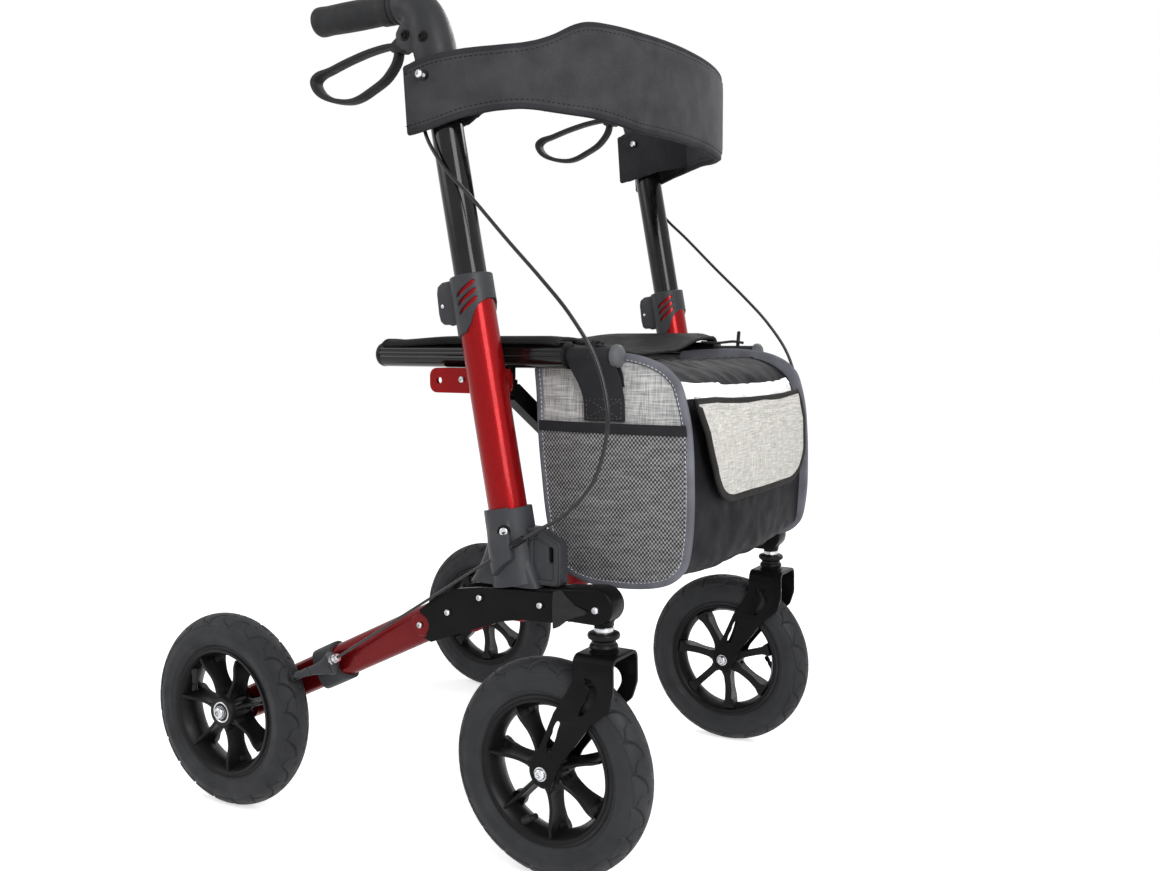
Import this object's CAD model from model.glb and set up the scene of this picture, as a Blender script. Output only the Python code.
"""All terrain rollator: the looks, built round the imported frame.

Lengths are millimetres in the part source's own axes, and placed() turns them into the frame's metres.
A piece of one side is drawn about that side frame's own plane, with its outer side towards -Y.
"""

import math

import bmesh
import bpy
import numpy as np
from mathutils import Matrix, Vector, noise


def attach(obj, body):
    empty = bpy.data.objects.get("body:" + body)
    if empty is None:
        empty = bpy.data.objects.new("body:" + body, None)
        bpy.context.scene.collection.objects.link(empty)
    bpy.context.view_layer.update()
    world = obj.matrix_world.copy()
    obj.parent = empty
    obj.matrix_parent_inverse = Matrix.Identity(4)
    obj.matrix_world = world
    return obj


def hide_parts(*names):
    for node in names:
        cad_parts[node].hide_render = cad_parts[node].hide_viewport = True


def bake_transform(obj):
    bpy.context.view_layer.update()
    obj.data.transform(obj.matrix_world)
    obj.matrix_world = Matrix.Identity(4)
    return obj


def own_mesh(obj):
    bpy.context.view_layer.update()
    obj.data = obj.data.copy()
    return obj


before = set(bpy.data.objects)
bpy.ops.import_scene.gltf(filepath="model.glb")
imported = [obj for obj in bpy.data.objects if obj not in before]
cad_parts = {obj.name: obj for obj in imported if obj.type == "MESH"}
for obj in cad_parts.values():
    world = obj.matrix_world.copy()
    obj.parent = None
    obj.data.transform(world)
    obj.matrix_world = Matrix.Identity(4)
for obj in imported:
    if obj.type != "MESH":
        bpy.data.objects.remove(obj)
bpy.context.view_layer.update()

# Places and sizes shared with the part's source
SHIFT_X = -10.5
SIDE_Y = 257.0
REAR_X, FRONT_X, AXLE_Z = -238.0, 238.0, 127.0
REAR_OUT = 36.0
SWIVEL_X = 305.0
PLATE_TOP = 333.5
UPRIGHT_FOOT = np.array([195.0, PLATE_TOP])
LEAN = math.radians(10.6)
LEG_SLOPE = math.atan2(146.0, 301.0)
RAIL_Y, RAIL_Z, RAIL_R = 213.0, 595.0, 15.0
RAIL_BACK, RAIL_FRONT = -35.0, 232.0
GRIP_AT = np.array([69.545, 1003.86])
LEVER_PIVOT = np.array([46.545, 966.862])
SIDES = {"r": ("right", 1.0), "l": ("left", -1.0)}
OUT = np.array([0.0, -1.0, 0.0])
UP = np.array([0.0, 0.0, 1.0])
AHEAD = np.array([1.0, 0.0, 0.0])


def placed(points, side=None):
    """Points in millimetres as the frame's metres, on one side if it is named."""
    p = np.asarray(points, float) + [SHIFT_X, 0, 0]
    if side:
        p = (p - [0, SIDE_Y, 0]) * [1, SIDES[side][1], 1]
    return p * 0.001


def on_upright(along, ahead=0.0):
    """X and Z of a point up the leaning upright, and a little ahead of its axis."""
    way = np.array([-math.sin(LEAN), math.cos(LEAN)])
    return UPRIGHT_FOOT + along * way + ahead * np.array([way[1], -way[0]])


def on_leg(along, above=0.0):
    """X and Z of a point along the rear leg from the axle, and a little above its axis."""
    way = np.array([math.cos(LEG_SLOPE), math.sin(LEG_SLOPE)])
    return np.array([REAR_X, AXLE_Z]) + along * way + above * np.array([-way[1], way[0]])


def in_plane(point, y):
    """A point of the X and Z plane set at a place along Y."""
    return np.array([point[0], y, point[1]])


def round_upright(along, turn, radius):
    """A point round the leaning upright: its place up it, turn from the front and distance from the axis."""
    return in_plane(on_upright(along, radius * math.cos(turn)), radius * math.sin(turn))


def round_axle(angle):
    """The way out from an axle at an angle round it, and the way on round it."""
    c, s = math.cos(angle), math.sin(angle)
    return np.array([c, 0, s]), np.array([-s, 0, c])


def wrinkle(x, y, z):
    """Smooth noise at a place."""
    return noise.noise(Vector((x, y, z)))


# Lines


def unit(v):
    v = np.asarray(v, float)
    return v / np.linalg.norm(v, axis=-1, keepdims=True)


def ease(t):
    t = np.clip(t, 0, 1)
    return t * t * (3 - 2 * t)


def curve(points, steps=6, loop=False):
    """A smooth line through the points."""
    p = np.asarray(points, float)
    n = len(p)
    around = (lambda i: p[i % n]) if loop else (lambda i: p[min(max(i, 0), n - 1)])
    t = (np.arange(steps) / steps)[:, None]
    line = []
    for i in range(n if loop else n - 1):
        a, b, c, d = (around(i + k) for k in (-1, 0, 1, 2))
        bent = 2 * b + (c - a) * t + (2 * a - 5 * b + 4 * c - d) * t**2 + (3 * b - a - 3 * c + d) * t**3
        line.append(bent / 2)
    if not loop:
        line.append(p[-1:])
    return np.vstack(line)


def rounded(outline, radius, steps=5):
    """An outline with each corner turned into an arc."""
    p = np.asarray(outline, float)
    n = len(p)
    radii = np.broadcast_to(radius, n)
    line = []
    for i in range(n):
        u, w = unit(p[i - 1] - p[i]), unit(p[(i + 1) % n] - p[i])
        half = math.acos(np.clip(u @ w, -1, 1)) / 2
        reach = radii[i] / math.tan(half)
        a, c = p[i] + u * reach, p[i] + w * reach
        t = np.linspace(0, 1, steps + 1)[:, None]
        line.append((1 - t) ** 2 * a + 2 * t * (1 - t) * p[i] + t**2 * c)
    return np.vstack(line)


def ways(path, loop=False):
    """The direction of a path at each of its points."""
    if loop:
        return unit(np.roll(path, -1, 0) - np.roll(path, 1, 0))
    return unit(np.gradient(np.asarray(path, float), axis=0))


def basis(axis):
    """Two directions square to an axis, and the axis."""
    n = unit(axis)
    u = unit(np.cross(AHEAD if abs(n[2]) > 0.9 else UP, n))
    return u, np.cross(n, u), n


def superellipse(a, b, power, count):
    """Points round a box-like oval."""
    t = np.linspace(0, 2 * math.pi, count, endpoint=False)
    c, s = np.cos(t), np.sin(t)
    return np.stack([a * np.sign(c) * abs(c) ** (2 / power), b * np.sign(s) * abs(s) ** (2 / power)], 1)


# Skins, each given as points and faces


def loft(rings, ends=True, loop=False, around=True):
    """A skin over rings of equal count."""
    rings = np.asarray(rings, float)
    n, m = rings.shape[:2]
    faces = []
    for i in range(n if loop else n - 1):
        a, b = i * m, (i + 1) % n * m
        for j in range(m if around else m - 1):
            k = (j + 1) % m
            faces.append((a + j, a + k, b + k, b + j))
    if ends and not loop:
        faces.append(tuple(range(m))[::-1])
        faces.append(tuple(range((n - 1) * m, n * m)))
    return rings.reshape(-1, 3), faces


def turned(profile, at, axis, steps=40, loop=False):
    """A profile of radii and heights turned about an axis."""
    u, v, n = basis(axis)
    t = np.linspace(0, 2 * math.pi, steps, endpoint=False)[:, None]
    round_ = np.cos(t) * u + np.sin(t) * v
    return loft([np.asarray(at, float) + h * n + max(r, 0.01) * round_ for r, h in profile], loop=loop)


def tube(path, radius, sides=12, loop=False):
    """A round skin along a path, turned as little as can be from point to point."""
    path = np.asarray(path, float)
    t = np.linspace(0, 2 * math.pi, sides, endpoint=False)[:, None]
    radii = np.broadcast_to(radius, len(path))
    u = basis(ways(path, loop)[0])[0]
    rings = []
    for p, way, r in zip(path, ways(path, loop), radii):
        u = unit(u - (u @ way) * way)
        rings.append(p + r * (np.cos(t) * u + np.sin(t) * np.cross(way, u)))
    return loft(rings, loop=loop)


def strip(path, section, across, loop=False, ends=True):
    """A section swept along a path that lies square to one fixed direction."""
    path = np.asarray(path, float)
    across = np.asarray(across, float)
    rings = []
    for p, way in zip(path, ways(path, loop)):
        over = unit(np.cross(way, across))
        rings.append([p + a * across + b * over for a, b in section])
    return loft(rings, ends=ends, loop=loop)


def cloth(grid, thick):
    """A closed sheet of cloth about a grid of points."""
    grid = np.asarray(grid, float)
    du, dv = np.gradient(grid, axis=0), np.gradient(grid, axis=1)
    off = unit(np.cross(du, dv) + 1e-9) * thick / 2
    n, m = grid.shape[:2]
    top, _ = loft(grid + off, ends=False, around=False)
    _, faces = loft(grid, ends=False, around=False)
    base = n * m
    back = [tuple(base + i for i in f[::-1]) for f in faces]
    rim = list(range(m)) + [i * m + m - 1 for i in range(1, n)]
    rim += [(n - 1) * m + j for j in range(m - 2, -1, -1)] + [i * m for i in range(n - 2, 0, -1)]
    edge = [(a, base + a, base + b, b) for a, b in zip(rim, rim[1:] + rim[:1])]
    return np.vstack([top, (grid - off).reshape(-1, 3)]), faces + back + edge


def linked(name, data):
    """A new object in the scene."""
    made = bpy.data.objects.new(name, data)
    bpy.context.scene.collection.objects.link(made)
    return made


def as_shown(thing):
    """The mesh of an object with its modifiers, to be removed after use."""
    return bpy.data.meshes.new_from_object(thing.evaluated_get(bpy.context.evaluated_depsgraph_get()))


def plate(outlines, low, high, bevel=1.0):
    """A plate in X and Z with eased edges, from an outline and its holes, given depth along Y."""
    flat = bpy.data.curves.new("plate", "CURVE")
    flat.dimensions = "2D"
    flat.fill_mode = "BOTH"
    flat.extrude = (high - low) / 2 - bevel
    flat.bevel_depth = bevel
    flat.bevel_resolution = 2
    flat.offset = -bevel
    for i, outline in enumerate(outlines):
        p = np.asarray(outline, float)
        area = np.sum(p[:, 0] * np.roll(p[:, 1], -1) - np.roll(p[:, 0], -1) * p[:, 1])
        if (area < 0) == (i == 0):
            p = p[::-1]
        line = flat.splines.new("POLY")
        line.points.add(len(p) - 1)
        for point, (x, z) in zip(line.points, p):
            point.co = (x, z, 0, 1)
        line.use_cyclic_u = True
    shown = linked("plate", flat)
    mesh = as_shown(shown)
    points = [(v.co.x, (low + high) / 2 - v.co.z, v.co.y) for v in mesh.vertices]
    faces = [tuple(f.vertices) for f in mesh.polygons]
    bpy.data.objects.remove(shown)
    bpy.data.curves.remove(flat)
    bpy.data.meshes.remove(mesh)
    return np.array(points), faces


def washer(inner, outer, high):
    """The profile of a flat ring."""
    return [(inner, 0), (outer, 0), (outer, high), (inner, high)]


def bolt(at, axis, radius, height):
    """A low domed bolt head with a six-sided socket."""
    u, v, n = basis(axis)
    t = np.linspace(0, 2 * math.pi, 24, endpoint=False)
    six = math.cos(math.pi / 6) / np.cos((t % (math.pi / 3)) - math.pi / 6)
    shares = [(0.02, 0.4), (0.46, 0.4), (0.5, 0.96), (0.62, 1), (0.86, 0.8), (1, 0.4), (1, 0)]
    circle = np.cos(t)[:, None] * u + np.sin(t)[:, None] * v
    rings = []
    for i, (r, h) in enumerate(shares):
        wide = radius * r * (six if i < 3 else np.ones_like(six))
        rings.append(np.asarray(at, float) + h * height * n + wide[:, None] * circle)
    return loft(rings)


class Piece:
    """Collects the skins of one piece, each with its own look, and makes them one object."""

    def __init__(self):
        self.skins = []

    def add(self, skin, look):
        self.skins.append((*skin, look))
        return self

    def turn(self, profile, at, axis, steps, look, loop=False):
        """Add a turned skin."""
        self.add(turned(profile, at, axis, steps, loop), look)

    def bolt(self, at, axis, radius, height, look="bright_steel"):
        """Add a bolt head."""
        self.add(bolt(at, axis, radius, height), look)

    def pair(self, outlines, near, far, bevel, look):
        """Add a plate on each side of the middle plane, between two distances from it."""
        for face in (1, -1):
            low, high = sorted((near * face, far * face))
            self.add(plate(outlines, low, high, bevel), look)

    def take(self, other, flip):
        """Add another piece's skins, mirrored from side to side where flip is -1."""
        for points, faces, look in other.skins:
            self.add((np.asarray(points) * [1.0, flip, 1.0], faces), look)

    def make(self, name, body, side=None, angle=38, replaces=(), slot=None):
        points, faces, looks = [], [], []
        for skin, corners, look in self.skins:
            base = len(points)
            points += [tuple(p) for p in skin]
            faces += [tuple(base + i for i in f) for f in corners]
            looks += [look] * len(corners)
        mesh = bpy.data.meshes.new(name)
        mesh.from_pydata(placed(points, side).tolist(), [], faces)
        order = list(dict.fromkeys(looks))
        for look in order:
            mesh.materials.append(LOOKS[look])
        mesh.polygons.foreach_set("material_index", [order.index(look) for look in looks])
        joined = bmesh.new()
        joined.from_mesh(mesh)
        bmesh.ops.remove_doubles(joined, verts=joined.verts, dist=2e-6)
        bmesh.ops.recalc_face_normals(joined, faces=joined.faces)
        joined.to_mesh(mesh)
        joined.free()
        mesh.shade_smooth()
        mesh.set_sharp_from_angle(angle=math.radians(angle))
        made = linked(name, mesh)
        if body:
            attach(made, body)
        if replaces:
            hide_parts(*replaces)
        return made


def dress(part, body, slot, skins, angle=38):
    """Draw a part by a function, and make it on both sides in the place of its solid."""
    piece = Piece()
    skins(piece)
    for side, (word, _) in SIDES.items():
        piece.make(f"{part}_dressed_{side}", f"{word}_{body}", side, angle, [f"{part}_{side}"], slot)


def draw_in(made):
    """A soft piece that the fold draws in: it holds at one place, and goes in by the travel at the reach."""
    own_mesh(made)


# Looks


def add_node(tree, kind, inputs=(), **settings):
    """A node with its settings, and with each input given a value or linked to another node."""
    made = tree.nodes.new(kind)
    for key, value in settings.items():
        setattr(made, key, value)
    for socket, value in dict(inputs).items():
        if isinstance(value, bpy.types.NodeSocket):
            tree.links.new(value, made.inputs[socket])
        else:
            made.inputs[socket].default_value = value
    return made


class Look:
    """A procedural material that is built up from a few layers."""

    def __init__(self, name, colour, roughness, **more):
        self.name = name
        self.material = bpy.data.materials.new(name)
        self.material.use_nodes = True
        self.tree = self.material.node_tree
        self.shader = self.tree.nodes["Principled BSDF"]
        self.shader.inputs["Base Color"].default_value = (*colour, 1)
        self.shader.inputs["Roughness"].default_value = roughness
        for socket, value in more.items():
            self.shader.inputs[socket.replace("_", " ").title().replace("Ior", "IOR")].default_value = value
        self.place = self.node("ShaderNodeTexCoord").outputs["Object"]

    def node(self, kind, inputs=(), **settings):
        return add_node(self.tree, kind, inputs, **settings)

    def feed(self, socket, value):
        """Link a value to one of the shader's own sockets."""
        self.tree.links.new(value, self.shader.inputs[socket])
        return self

    def cloud(self, x, y=None, z=None, detail=3.0):
        """Soft noise in repeats a metre, the same along each axis unless y and z are given."""
        scale = (x, y or x, z or x)
        place = self.node("ShaderNodeMapping", {"Vector": self.place, "Scale": scale}).outputs["Vector"]
        inputs = {"Vector": place, "Scale": 1.0, "Detail": detail}
        return self.node("ShaderNodeTexNoise", inputs).outputs["Fac"]

    def maths(self, how, *values):
        return self.node("ShaderNodeMath", enumerate(values), operation=how).outputs[0]

    def wave(self, axis, pitch):
        """A sine along one axis, with its pitch in millimetres."""
        split = self.node("ShaderNodeSeparateXYZ", {"Vector": self.place})
        turns = self.maths("MULTIPLY", split.outputs[axis], 2000 * math.pi / pitch)
        return self.maths("SINE", turns)

    def colours(self, by, *stops):
        """Colour from a ramp of places and colours."""
        ramp = self.node("ShaderNodeValToRGB", {"Fac": by})
        while len(ramp.color_ramp.elements) < len(stops):
            ramp.color_ramp.elements.new(0.5)
        for element, (place, colour) in zip(ramp.color_ramp.elements, stops):
            element.position = place
            element.color = (*colour, 1)
        return self.feed("Base Color", ramp.outputs["Color"])

    def lifted(self, by, colour, gain, low, high):
        """Colour that varies between two places of a ramp from a base to a paler shade of it."""
        return self.colours(by, (low, colour), (high, tuple(c * gain for c in colour)))

    def roughness(self, by, low, high):
        inputs = {"Value": by, "From Min": 0.3, "From Max": 0.7, "To Min": low, "To Max": high}
        return self.feed("Roughness", self.node("ShaderNodeMapRange", inputs).outputs["Result"])

    def relief(self, by, depth, strength=1.0):
        """Bumps of a depth in millimetres."""
        bump = self.node("ShaderNodeBump", {"Height": by, "Distance": depth * 0.001, "Strength": strength})
        return self.feed("Normal", bump.outputs["Normal"])


def red_paint(name, deep, bright):
    """Metallic red lacquer with fine flake."""
    look = Look(name, bright, 0.3, metallic=0.5, specular_ior_level=0.06, coat_weight=0.2,
                coat_roughness=0.06)
    flake = look.cloud(1500, detail=2)
    look.colours(flake, (0.36, deep), (0.66, bright))
    return look.roughness(look.cloud(40), 0.26, 0.36).relief(flake, 0.02, 0.25)


def black_metal(name, colour, rough, shine):
    """Black lacquer with a little orange peel."""
    look = Look(name, colour, rough, specular_ior_level=shine)
    look.lifted(look.cloud(30), colour, 1.8, 0.35, 0.7)
    return look.roughness(look.cloud(60), rough - 0.05, rough + 0.07).relief(
        look.cloud(260), 0.05, 0.4)


def moulded(name, colour, rough, grain=900, shine=0.22):
    """Moulded plastic with a spark-eroded grain."""
    look = Look(name, colour, rough, specular_ior_level=shine)
    look.lifted(look.cloud(25, detail=4), colour, 1.35, 0.3, 0.75)
    return look.roughness(look.cloud(90), rough - 0.06, rough + 0.08).relief(
        look.cloud(grain, detail=2), 0.06, 0.5)


def tyre_rubber():
    """Rubber with a dusty bloom."""
    look = Look("tyre_rubber", (0.018, 0.0185, 0.0205), 0.6, specular_ior_level=0.25)
    look.colours(look.cloud(18, 60, 18, 5), (0.3, (0.014, 0.0145, 0.016)), (0.7, (0.027, 0.028, 0.031)))
    return look.roughness(look.cloud(50), 0.5, 0.68).relief(look.cloud(500, detail=2), 0.1, 0.5)


def bright_steel():
    """Zinc-plated steel."""
    look = Look("bright_steel", (0.55, 0.56, 0.58), 0.24, metallic=1.0)
    look.colours(look.cloud(80), (0.3, (0.42, 0.43, 0.45)), (0.7, (0.64, 0.65, 0.67)))
    return look.roughness(look.cloud(300), 0.18, 0.34)


def melange(name, dark, light):
    """Linen-like cloth whose threads vary in shade along both directions."""
    look = Look(name, light, 0.9, sheen_weight=0.1, sheen_roughness=0.5, specular_ior_level=0.15)
    along = look.maths("ADD", look.cloud(42, 42, 760, 3), look.cloud(740, 740, 38, 3))
    half = look.maths("MULTIPLY", along, 0.5)
    middle = tuple((a + b) / 2 for a, b in zip(dark, light))
    look.colours(half, (0.38, dark), (0.5, middle), (0.61, light))
    return look.relief(half, 0.4, 0.5)


def mesh_pocket():
    """Open knit: pale backing seen through a dark net."""
    look = Look("mesh_pocket", (0.1, 0.1, 0.105), 0.85, specular_ior_level=0.15)
    net = look.maths("MULTIPLY", look.wave("X", 4.6), look.wave("Z", 5.4))
    uneven = look.maths("MULTIPLY", look.cloud(60, 60, 300, 3), 0.42)
    level = look.maths("ADD", look.maths("MULTIPLY", net, 0.36), look.maths("ADD", uneven, 0.185))
    dark, middle, pale = (0.02, 0.02, 0.021), (0.12, 0.12, 0.123), (0.33, 0.33, 0.335)
    look.colours(level, (0.14, dark), (0.38, middle), (0.66, pale))
    return look.relief(net, 0.5, 0.6)


def woven(name, colour, rough, pitch, shine=0.15, sheen=0.0):
    """Plain-woven synthetic cloth with its threads as relief."""
    look = Look(name, colour, rough, sheen_weight=sheen, sheen_roughness=0.4, specular_ior_level=shine)
    look.lifted(look.cloud(30, detail=4), colour, 1.5, 0.35, 0.7)
    threads = look.maths("ADD", look.maths("MULTIPLY", look.wave("X", pitch), look.wave("Z", pitch)),
                         look.wave("Y", pitch))
    return look.roughness(look.cloud(45), rough - 0.06, rough + 0.08).relief(threads, 0.12, 0.4)


def made_looks():
    looks = [
        tyre_rubber(), bright_steel(), mesh_pocket(),
        red_paint("red_paint", (0.17, 0.002, 0.003), (0.35, 0.003, 0.005)),
        red_paint("red_leg", (0.10, 0.003, 0.004), (0.19, 0.005, 0.007)),
        black_metal("black_metal", (0.003, 0.003, 0.0033), 0.3, 0.08),
        black_metal("black_gloss", (0.004, 0.004, 0.004), 0.13, 0.28),
        moulded("grey_plastic", (0.032, 0.033, 0.037), 0.44),
        moulded("head_plastic", (0.023, 0.0234, 0.026), 0.44, 900, 0.18),
        moulded("nose_plastic", (0.0125, 0.0125, 0.0135), 0.42, 900, 0.18),
        moulded("black_plastic", (0.0052, 0.0052, 0.0054), 0.38, 900, 0.14),
        moulded("grip_rubber", (0.014, 0.0143, 0.0155), 0.6, 500),
        moulded("knob_plastic", (0.085, 0.087, 0.093), 0.5),
        moulded("cable_sleeve", (0.005, 0.005, 0.0055), 0.24, 900, 0.4),
        melange("grey_melange", (0.22, 0.22, 0.222), (0.58, 0.58, 0.57)),
        melange("pale_melange", (0.37, 0.357, 0.327), (0.70, 0.68, 0.645)),
        woven("black_nylon", (0.0105, 0.0102, 0.012), 0.55, 1.4, 0.05),
        woven("seat_fabric", (0.013, 0.0126, 0.0126), 0.6, 1.8, 0.05),
        woven("band_fabric", (0.034, 0.034, 0.037), 0.82, 2.2, 0.15, 0.1),
        woven("band_binding", (0.021, 0.021, 0.024), 0.8, 1.6),
        woven("black_webbing", (0.015, 0.015, 0.017), 0.75, 2.4),
        woven("piping", (0.115, 0.117, 0.135), 0.8, 1.6),
        woven("dark_binding", (0.016, 0.015, 0.0145), 0.8, 1.6),
        woven("white_tape", (0.90, 0.90, 0.90), 0.55, 1.2),
        woven("black_thread", (0.009, 0.009, 0.009), 0.7, 0.8),
        woven("grey_thread", (0.42, 0.43, 0.46), 0.7, 0.8),
        woven("dark_thread", (0.075, 0.075, 0.08), 0.7, 0.8),
    ]
    return {look.name: look.material for look in looks}


LOOKS = made_looks()


# Wheels

TYRE_TUBE = 24.0
TYRE_MID = AXLE_Z - TYRE_TUBE
TREAD_REPEATS, TREAD_STEPS = 20, 26
BEAD_ANGLE = 138.0
SLANTS = np.concatenate([np.linspace(BEAD_ANGLE, 72, 14)[:-1], np.linspace(72, -72, 67),
                         np.linspace(-72, -BEAD_ANGLE, 14)[1:]])
ARC_LONG, ARC_LOW, ARC_HIGH = 0.6, 15.0, 60.0
BLOCK_TURN, BLOCK_ACROSS = (0.5, 0.64, 1.0), (15.0, 40.0, 54.0)
SIPE_AT, SIPE_ACROSS = 0.84, 12.0
BEAD_R, BEAD_HALF = 80.6, 16.4
WALL_DEPTH, ARC_DEPTH, BLOCK_DEPTH, SIPE_DEPTH = 1.3, 2.0, 1.2, 1.6
# Raised rings on the tyre's wall: the place across it, the height and the breadth
WALL_RINGS = [(112.0, 0.8, 3.5), (86.0, 0.5, 2.6)]


def tread_depth(turn, slant):
    """How far the rubber lies under the tyre's round outline, from the place round and across it."""
    across = abs(slant)
    u = (-turn * TREAD_REPEATS + (slant < 0) * 0.5) % 1.0
    wall = WALL_DEPTH * ease((across - (62 - 7 * u)) / 2.4)
    bow = np.hypot((ARC_LONG - u) / ARC_LONG, (ARC_HIGH - across) / (ARC_HIGH - ARC_LOW))
    arc = ARC_DEPTH * np.exp(-(((bow - 1) / 0.06) ** 4)) * (u < ARC_LONG) * (across < ARC_HIGH + 4)
    off_block = across - np.interp(u, BLOCK_TURN, BLOCK_ACROSS)
    block = BLOCK_DEPTH * np.exp(-((off_block / 2.2) ** 4)) * (u > BLOCK_TURN[0])
    off_sipe = across - SIPE_ACROSS
    on_sipe = (u - SIPE_AT - 0.008 * off_sipe) / 0.04
    sipe = SIPE_DEPTH * np.exp(-((off_sipe / 5) ** 4) - on_sipe**4)
    rings = sum(high * np.exp(-(((across - at) / broad) ** 2)) for at, high, broad in WALL_RINGS)
    return np.maximum.reduce([wall, arc, block, sipe]) - rings


def tyre_skin(at):
    turns = np.arange(TREAD_REPEATS * TREAD_STEPS) / (TREAD_REPEATS * TREAD_STEPS)
    rings = []
    for turn in turns:
        reach = TYRE_TUBE - tread_depth(turn, SLANTS)
        r = TYRE_MID + reach * np.cos(np.radians(SLANTS))
        y = reach * np.sin(np.radians(SLANTS))
        r = np.concatenate([[BEAD_R], r, [BEAD_R]])
        y = np.concatenate([[BEAD_HALF], y, [-BEAD_HALF]])
        a = 2 * math.pi * turn
        rings.append(np.stack([at[0] + r * math.cos(a), at[1] + y, at[2] + r * math.sin(a)], 1))
    return loft(rings, loop=True)


RIM_LIP, RIM_IN, RIM_HALF = 83.4, 71.5, 19.4
HUB_R, HUB_HALF = 21.0, 20.0
AXLE_R = 6.0
SPOKES, SPOKE_TURN = 7, 0.32
# Where each wheel's valve stands, in degrees round the axle from straight ahead
VALVE_AT = {"right_front_wheel": 244.0, "left_front_wheel": 347.0,
            "right_rear_wheel": 142.0, "left_rear_wheel": 142.0}
REAR_AXLE = np.array([REAR_X, -REAR_OUT, AXLE_Z])
FRONT_AXLE = np.array([FRONT_X, 0.0, AXLE_Z])


def spoke_skin(at, angle):
    """A spoke: a deep blade along the axle, thicker at its back and spread where it meets hub and barrel."""
    way, side = round_axle(angle)
    rings = []
    for r in np.linspace(HUB_R - 4, RIM_IN + 4, 21):
        s = (r - HUB_R) / (RIM_IN - HUB_R)
        root, end = ease((0.16 - s) / 0.24), ease((s - 0.8) / 0.24)
        deep = 12.0 + 3.4 * ease((0.4 - s) / 0.5) + 6.0 * ease((s - 0.45) / 0.55)
        front, back = 2.2 + 2.6 * root - 0.6 * end, 5.2 + 3.2 * root + 4.0 * end
        ring = [(front, deep - 1.2), (front - 1, deep), (1 - front, deep), (-front, deep - 1.2),
                (-front, -3), (-back, -8), (-back, 1.2 - deep), (1 - back, -deep), (back - 1, -deep),
                (back, 1.2 - deep), (back, -8), (front, -3)]
        rings.append([at + r * way + a * side + b * OUT for a, b in ring])
    return loft(rings)


def rim_skins(piece, at, valve):
    barrel = [(RIM_LIP - 3, -RIM_HALF), (RIM_LIP - 0.8, -RIM_HALF), (RIM_LIP, -RIM_HALF + 0.8),
              (RIM_LIP - 0.4, -RIM_HALF + 2.6), (80.0, -16.2), (80.0, 16.2), (RIM_LIP - 0.4, RIM_HALF - 2.6),
              (RIM_LIP, RIM_HALF - 0.8), (RIM_LIP - 0.8, RIM_HALF), (RIM_LIP - 3, RIM_HALF),
              (RIM_LIP - 4.6, RIM_HALF - 1.2), (RIM_IN + 4.4, 12), (RIM_IN + 0.8, 5), (RIM_IN, 0),
              (RIM_IN + 0.8, -5), (RIM_IN + 4.4, -12), (RIM_LIP - 4.6, -RIM_HALF + 1.2)]
    piece.turn(barrel, at, OUT, 112, "black_plastic", loop=True)
    hub = [(14.2, -HUB_HALF), (18.6, -HUB_HALF), (19.4, -HUB_HALF + 0.8), (HUB_R, -8), (HUB_R, 8),
           (19.4, HUB_HALF - 0.8), (18.6, HUB_HALF), (14.2, HUB_HALF), (14.2, 13), (6.3, 13), (6.3, -13),
           (14.2, -13)]
    piece.turn(hub, at, OUT, 56, "black_plastic", loop=True)
    for i in range(SPOKES):
        piece.add(spoke_skin(at, 2 * math.pi * i / SPOKES + SPOKE_TURN), "black_plastic")
    rib = [(17.5, 17.5), (25, 4), (20, 4), (16, 17.5)]
    for i in range(2 * SPOKES):
        way, side = round_axle(math.pi * (i + 0.5) / SPOKES + SPOKE_TURN)
        for axis in (OUT, -OUT):
            rings = [[at + r * way + h * axis + w * side for r, h in rib] for w in (-1.1, 1.1)]
            piece.add(loft(rings), "black_plastic")
    valve_skins(piece, at, math.radians(valve))


def valve_skins(piece, at, angle):
    """The air valve that comes through the barrel between two spokes."""
    way, on = round_axle(angle)
    root = at + (RIM_IN + 3) * way + 9 * OUT
    tip = unit(-way * 0.8 + 0.35 * OUT + 0.5 * on)
    stem = [(5.4, 0), (5.0, 5), (3.6, 8), (3.4, 17), (3.0, 18)]
    cap = [(2.6, 17.5), (2.6, 21), (3.4, 21.2), (3.5, 27), (2.4, 28.4)]
    piece.turn(stem, root, tip, 16, "grip_rubber")
    piece.turn(cap, root, tip, 14, "black_plastic")


def wheels():
    for side, (word, _) in SIDES.items():
        for end, at in (("front", FRONT_AXLE), ("rear", REAR_AXLE)):
            body = f"{word}_{end}_wheel"
            tyre = Piece().add(tyre_skin(at), "tyre_rubber")
            tyre.make(f"{end}_tyre_dressed_{side}", body, side, 34, [f"{end}_tyre_{side}"], "tyre")
            rim = Piece()
            rim_skins(rim, at, VALVE_AT[body])
            rim.make(f"{end}_rim_dressed_{side}", body, side, 38, [f"{end}_rim_{side}"], "black_plastic")


def bearing_skins(piece, at):
    """A wheel bearing at each face of the hub: bright rings with a dark seal between."""
    outer = [(11.6, 0), (13.9, 0), (13.9, 6.6), (13.4, 7), (12.2, 7), (11.6, 6.4)]
    seal = washer(8.4, 11.6, 5.8)
    inner = [(6.1, 0), (8.4, 0), (8.4, 6.6), (8, 7), (6.1, 7)]
    for axis in (OUT, -OUT):
        for ring, look in ((outer, "bright_steel"), (seal, "black_plastic"), (inner, "bright_steel")):
            piece.turn(ring, at + axis * (HUB_HALF - 7), axis, 40, look, loop=True)


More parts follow.
